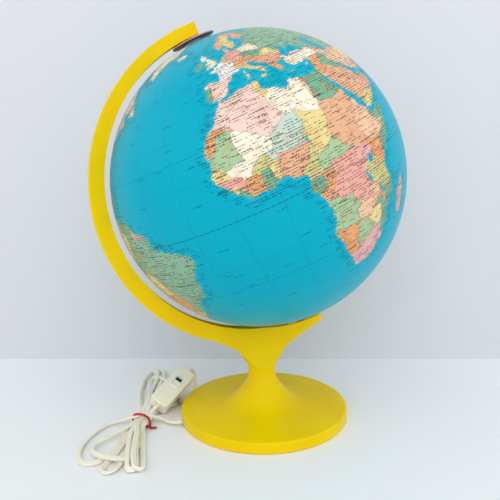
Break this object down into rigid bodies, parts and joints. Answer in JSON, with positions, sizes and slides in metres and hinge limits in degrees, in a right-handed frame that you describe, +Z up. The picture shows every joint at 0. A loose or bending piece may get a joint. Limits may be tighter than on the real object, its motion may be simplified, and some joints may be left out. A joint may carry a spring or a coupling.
{
  "type": "desktop globe on stand",
  "caption": "Illuminated desktop globe that spins on a tilted axis in a moulded arm on a round weighted foot, with a mains cord, in-line slide switch and plug.",
  "frame": {"origin": "centre of the round foot's resting face, on the surface it stands on", "axes": "+Z up; the arm lies in the XZ plane and the globe's north pole leans towards -X; -Y is the viewer's side"},
  "size_m": [0.3567, 0.3233, 0.4115],
  "materials": {
    "stand_plastic": "semi-gloss moulded plastic",
    "globe_print": "printed and lacquered",
    "dial_print": "satin",
    "ivory_plastic": "satin",
    "dark_plastic": "satin",
    "steel": "zinc plated",
    "brass": "satin",
    "iron": "rough",
    "felt": "felt",
    "board": "matt painted sheet",
    "rubber": "soft",
    "flex": "soft PVC",
    "glass": "frosted",
    "tie_red": "coated wire"
  },
  "bodies": {
    "stand": {"base_shell": "stand_plastic", "base_cover": "board", "base_screws": "steel", "base_weight": "iron", "floor_pad": "felt", "cord_grommet": "rubber", "cord_clamp": "dark_plastic", "clamp_screws": "steel", "neck_tube": "steel", "neck_washers": "steel", "neck_nuts": "steel", "meridian_arm": "stand_plastic", "north_boss": "ivory_plastic", "north_pin": "steel", "south_pivot": "steel", "pivot_nut": "steel", "pivot_collar": "ivory_plastic", "holder_base": "dark_plastic", "holder_sleeve": "dark_plastic", "holder_insert": "ivory_plastic", "bulb_cap": "brass", "bulb_glass": "glass", "inner_flex": "flex", "switch_upper": "ivory_plastic", "switch_bezel": "ivory_plastic", "switch_lower": "ivory_plastic", "switch_screws": "steel", "switch_contacts": "brass", "cord_lead": "flex", "cord_to_switch": "flex", "cord_under_switch": "flex", "cord_tail": "flex", "cord_hank": "flex", "cord_tie": "tie_red", "plug_body": "ivory_plastic", "plug_pins": "steel"},
    "globe": {"globe_north": "globe_print", "globe_south": "globe_print", "equator_band": "dark_plastic", "north_bush": "dark_plastic", "south_bush": "dark_plastic"},
    "dial": {"hour_dial": "dial_print"},
    "switch_button": {"switch_slider": "ivory_plastic"}
  },
  "joints": [
    {"name": "globe_spin", "type": "hinge", "parent": "stand", "child": "globe", "pos_m": [0, 0, 0.2547], "axis": [-0.3987, 0, 0.9171], "continuous": true},
    {"name": "hour_dial_turn", "type": "hinge", "parent": "stand", "child": "dial", "pos_m": [0, 0, 0.2547], "axis": [-0.3987, 0, 0.9171], "continuous": true},
    {"name": "switch_slide", "type": "slide", "parent": "stand", "child": "switch_button", "axis": [0.7336, 0.6069, 0.3057], "range_m": [0, 0.005]}
  ]
}
